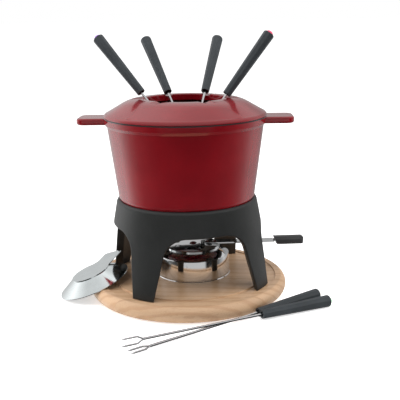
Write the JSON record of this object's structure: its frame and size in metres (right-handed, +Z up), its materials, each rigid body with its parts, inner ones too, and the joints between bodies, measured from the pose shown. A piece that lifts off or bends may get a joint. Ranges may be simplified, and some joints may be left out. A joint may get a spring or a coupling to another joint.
{
  "type": "fondue pot set",
  "caption": "Table fondue set: enamelled pot with a fork guard on a cast stand over a spirit burner with a turning regulator, on a wooden board, with loose forks and a flame snuffer.",
  "frame": {"origin": "middle of the board's underside, on the table", "axes": "+Z up along the axis of the stand, pot and fork guard; +X towards the pot's right tab and the regulator grip; -Y towards the viewer and the two forks on the table"},
  "size_m": [0.3082, 0.2959, 0.2989],
  "materials": {
    "beech": "satin lacquered rubberwood",
    "cast_black": "matt black enamel",
    "red_enamel": "gloss red enamel",
    "handle_black": "satin black",
    "fork_steel": "polished",
    "cap_purple": "gloss",
    "cap_blue": "gloss",
    "cap_white": "gloss",
    "cap_red": "gloss",
    "cap_yellow": "gloss",
    "cap_green": "gloss",
    "bright_steel": "mirror polished",
    "wadding": "matt",
    "gauze": "woven wire",
    "grip_black": "gloss"
  },
  "bodies": {
    "board": {"board": "beech"},
    "stand": {"stand": "cast_black"},
    "pot": {"pot": "red_enamel"},
    "fork_guard": {"fork_guard": "red_enamel"},
    "fork_1": {"fork_1_handle": "handle_black", "fork_1_shaft": "fork_steel", "fork_1_cap": "cap_purple"},
    "fork_2": {"fork_2_handle": "handle_black", "fork_2_shaft": "fork_steel", "fork_2_cap": "cap_blue"},
    "fork_3": {"fork_3_handle": "handle_black", "fork_3_shaft": "fork_steel", "fork_3_cap": "cap_white"},
    "fork_4": {"fork_4_handle": "handle_black", "fork_4_shaft": "fork_steel", "fork_4_cap": "cap_red"},
    "fork_5": {"fork_5_handle": "handle_black", "fork_5_shaft": "fork_steel", "fork_5_cap": "cap_yellow"},
    "fork_6": {"fork_6_handle": "handle_black", "fork_6_shaft": "fork_steel", "fork_6_cap": "cap_green"},
    "burner": {"burner_pan": "bright_steel", "burner_shell": "bright_steel", "fuel_cup": "bright_steel", "fuel_wadding": "wadding", "wire_gauze": "gauze", "flame_plate": "bright_steel", "pivot_pin": "bright_steel"},
    "regulator": {"regulator_cap": "bright_steel", "regulator_arm": "bright_steel", "regulator_rivets": "bright_steel", "regulator_grip": "grip_black"},
    "snuffer": {"snuffer_cap": "bright_steel", "snuffer_handle": "bright_steel"}
  },
  "joints": [
    {"name": "stand_lift", "type": "slide", "parent": "board", "child": "stand", "axis": [0, 0, 1], "range_m": [0, 0.15]},
    {"name": "pot_lift", "type": "slide", "parent": "stand", "child": "pot", "axis": [0, 0, 1], "range_m": [0, 0.12]},
    {"name": "guard_lift", "type": "slide", "parent": "pot", "child": "fork_guard", "axis": [0, 0, 1], "range_m": [0, 0.1]},
    {"name": "fork_1_draw", "type": "slide", "parent": "fork_guard", "child": "fork_1", "axis": [-0.5862, 0.3954, 0.7071], "range_m": [0, 0.12]},
    {"name": "fork_2_draw", "type": "slide", "parent": "fork_guard", "child": "fork_2", "axis": [-0.3183, 0.6383, 0.7009], "range_m": [0, 0.12]},
    {"name": "fork_3_draw", "type": "slide", "parent": "fork_guard", "child": "fork_3", "axis": [0.2103, 0.6879, 0.6947], "range_m": [0, 0.12]},
    {"name": "fork_4_draw", "type": "slide", "parent": "fork_guard", "child": "fork_4", "axis": [0.5872, 0.2614, 0.766], "range_m": [0, 0.12]},
    {"name": "fork_5_draw", "type": "slide", "parent": "board", "child": "fork_5", "axis": [0.8432, 0.5372, 0.021], "range_m": [0, 0.15]},
    {"name": "fork_6_lift", "type": "slide", "parent": "board", "child": "fork_6", "axis": [0, 0, 1], "range_m": [0, 0.1]},
    {"name": "burner_slide", "type": "slide", "parent": "board", "child": "burner", "axis": [0.9699, 0.2436, 0], "range_m": [0, 0.2]},
    {"name": "regulator_turn", "type": "hinge", "parent": "burner", "child": "regulator", "pos_m": [0.006, 0.004, 0.05], "axis": [0, 0, 1], "range_deg": [-12, 30]},
    {"name": "snuffer_lift", "type": "slide", "parent": "board", "child": "snuffer", "axis": [-0.8, 0, 0.6], "range_m": [0, 0.12]}
  ]
}
